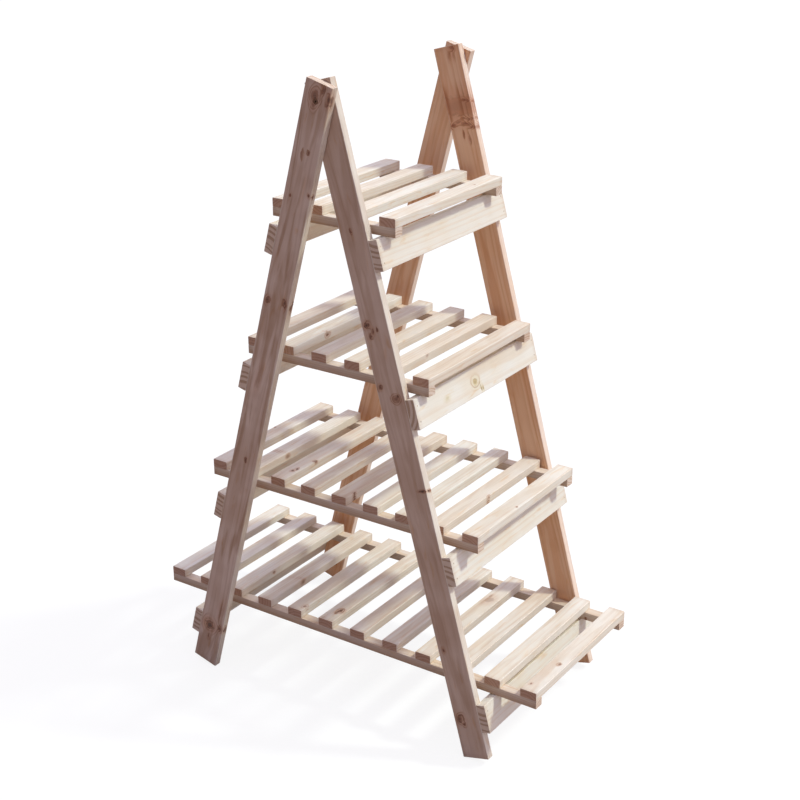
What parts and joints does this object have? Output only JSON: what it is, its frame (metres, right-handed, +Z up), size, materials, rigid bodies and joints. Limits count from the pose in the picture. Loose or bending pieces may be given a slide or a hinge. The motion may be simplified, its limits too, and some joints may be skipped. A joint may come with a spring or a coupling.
{
  "type": "plant ladder stand",
  "caption": "Folding A-frame plant ladder of planed softwood: two crossed ladder frames on screw pivots carry loose slatted shelves that grow deeper towards the floor.",
  "frame": {"origin": "on the floor, at the centre of the overall box", "axes": "+X along the slats to the right end, -Y towards the front, +Z up"},
  "size_m": [0.4, 0.7784, 1.1007],
  "materials": {
    "legs": "planed, untreated",
    "rails": "planed, untreated",
    "battens": "planed, untreated",
    "slats": "planed, untreated",
    "pivot_steel": "zinc plated, dulled",
    "nails": "plain"
  },
  "bodies": {
    "back_frame": {"back_leg_left": "legs", "back_leg_right": "legs", "back_rail_1": "rails", "back_rail_2": "rails", "back_rail_3": "rails", "back_rail_4": "rails", "back_rail_nails": "nails"},
    "front_frame": {"front_leg_left": "legs", "front_leg_right": "legs", "front_rail_1": "rails", "front_rail_2": "rails", "front_rail_3": "rails", "front_rail_4": "rails", "front_rail_nails": "nails", "pivot_screws": "pivot_steel", "pivot_washers": "pivot_steel"},
    "shelf_1": {"shelf_1_batten_left": "battens", "shelf_1_batten_right": "battens", "shelf_1_slat_1": "slats", "shelf_1_slat_2": "slats", "shelf_1_slat_3": "slats", "shelf_1_slat_4": "slats", "shelf_1_brads": "nails"},
    "shelf_2": {"shelf_2_batten_left": "battens", "shelf_2_batten_right": "battens", "shelf_2_slat_1": "slats", "shelf_2_slat_2": "slats", "shelf_2_slat_3": "slats", "shelf_2_slat_4": "slats", "shelf_2_slat_5": "slats", "shelf_2_slat_6": "slats", "shelf_2_brads": "nails"},
    "shelf_3": {"shelf_3_batten_left": "battens", "shelf_3_batten_right": "battens", "shelf_3_slat_1": "slats", "shelf_3_slat_2": "slats", "shelf_3_slat_3": "slats", "shelf_3_slat_4": "slats", "shelf_3_slat_5": "slats", "shelf_3_slat_6": "slats", "shelf_3_slat_7": "slats", "shelf_3_slat_8": "slats", "shelf_3_slat_9": "slats", "shelf_3_brads": "nails"},
    "shelf_4": {"shelf_4_batten_left": "battens", "shelf_4_batten_right": "battens", "shelf_4_slat_1": "slats", "shelf_4_slat_2": "slats", "shelf_4_slat_3": "slats", "shelf_4_slat_4": "slats", "shelf_4_slat_5": "slats", "shelf_4_slat_6": "slats", "shelf_4_slat_7": "slats", "shelf_4_slat_8": "slats", "shelf_4_slat_9": "slats", "shelf_4_slat_10": "slats", "shelf_4_slat_11": "slats", "shelf_4_slat_12": "slats", "shelf_4_brads": "nails"}
  },
  "joints": [
    {"name": "fold", "type": "hinge", "parent": "back_frame", "child": "front_frame", "pos_m": [0, -0.013, 1.06518], "axis": [1, 0, 0], "range_deg": [0, 30]},
    {"name": "shelf_1_draw", "type": "slide", "parent": "back_frame", "child": "shelf_1", "axis": [0, -1, 0], "range_m": [0, 0.52]},
    {"name": "shelf_2_draw", "type": "slide", "parent": "back_frame", "child": "shelf_2", "axis": [0, -1, 0], "range_m": [0, 0.58]},
    {"name": "shelf_3_draw", "type": "slide", "parent": "back_frame", "child": "shelf_3", "axis": [0, -1, 0], "range_m": [0, 0.7]},
    {"name": "shelf_4_draw", "type": "slide", "parent": "back_frame", "child": "shelf_4", "axis": [0, -1, 0], "range_m": [0, 0.74]}
  ]
}
